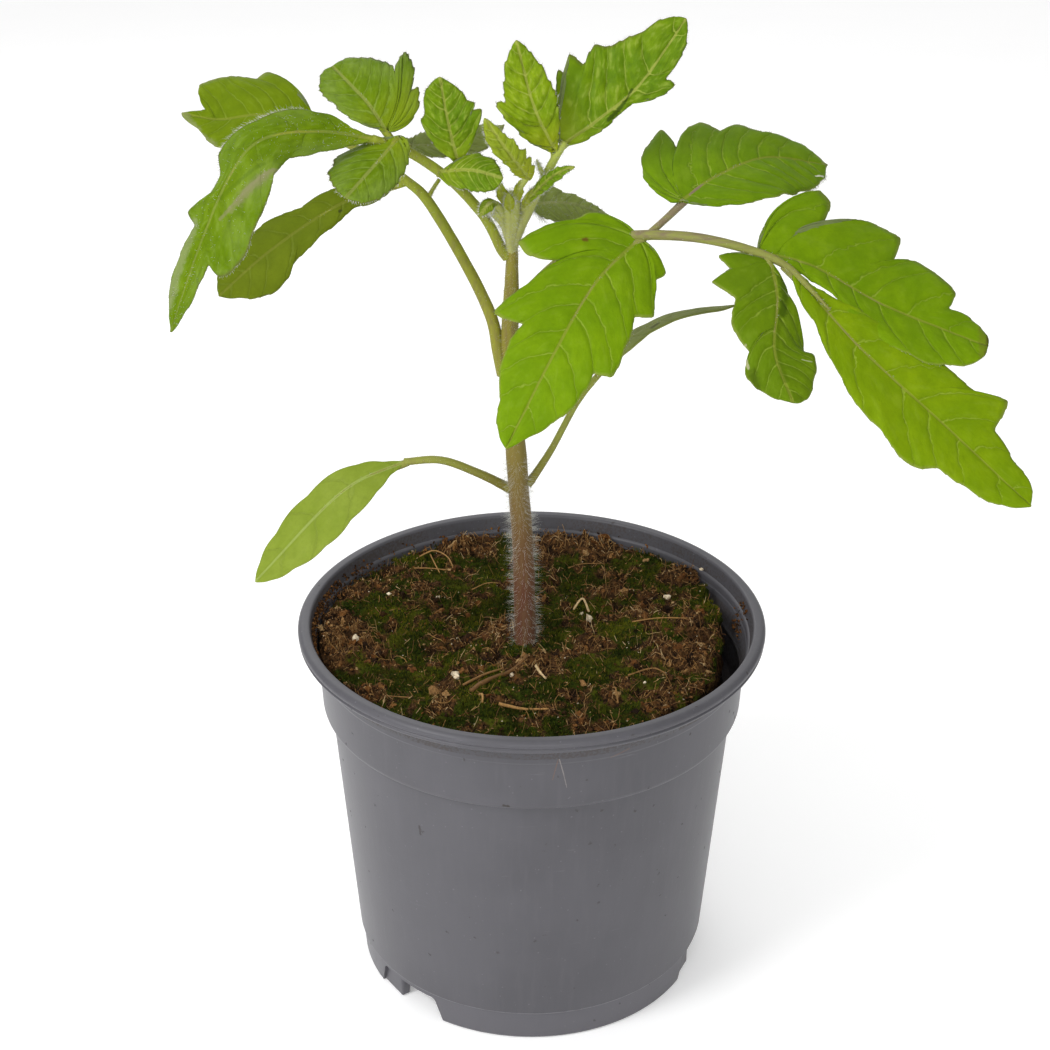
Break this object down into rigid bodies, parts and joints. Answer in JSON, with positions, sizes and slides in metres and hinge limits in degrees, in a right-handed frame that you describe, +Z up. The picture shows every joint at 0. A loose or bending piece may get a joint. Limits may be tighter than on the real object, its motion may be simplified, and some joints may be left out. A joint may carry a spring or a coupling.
{
  "type": "potted tomato plant",
  "caption": "Young tomato plant with a hairy stem, seed leaves and cut compound leaves, growing in a round tapered plastic nursery pot filled with mossy soil.",
  "frame": {"origin": "centre of the whole part's box in plan, on the plane the pot stands on", "axes": "+Z up along the pot's axis, +X towards the largest leaf, -Y is the front"},
  "size_m": [0.2014, 0.12, 0.2534],
  "materials": {
    "pot": "satin",
    "soil": "matte",
    "main_stem": "matte",
    "shoot_tip": "matte",
    "cotyledon_left": "satin",
    "cotyledon_right": "satin",
    "leaf_right": "satin",
    "leaf_left_lower": "satin",
    "leaf_left_upper": "satin",
    "leaf_top": "satin",
    "leaf_back": "matte"
  },
  "bodies": {
    "root": {"pot": "pot", "soil": "soil", "main_stem": "main_stem", "shoot_tip": "shoot_tip", "cotyledon_left": "cotyledon_left", "cotyledon_right": "cotyledon_right", "leaf_right": "leaf_right", "leaf_left_lower": "leaf_left_lower", "leaf_left_upper": "leaf_left_upper", "leaf_top": "leaf_top", "leaf_back": "leaf_back"}
  },
  "joints": []
}
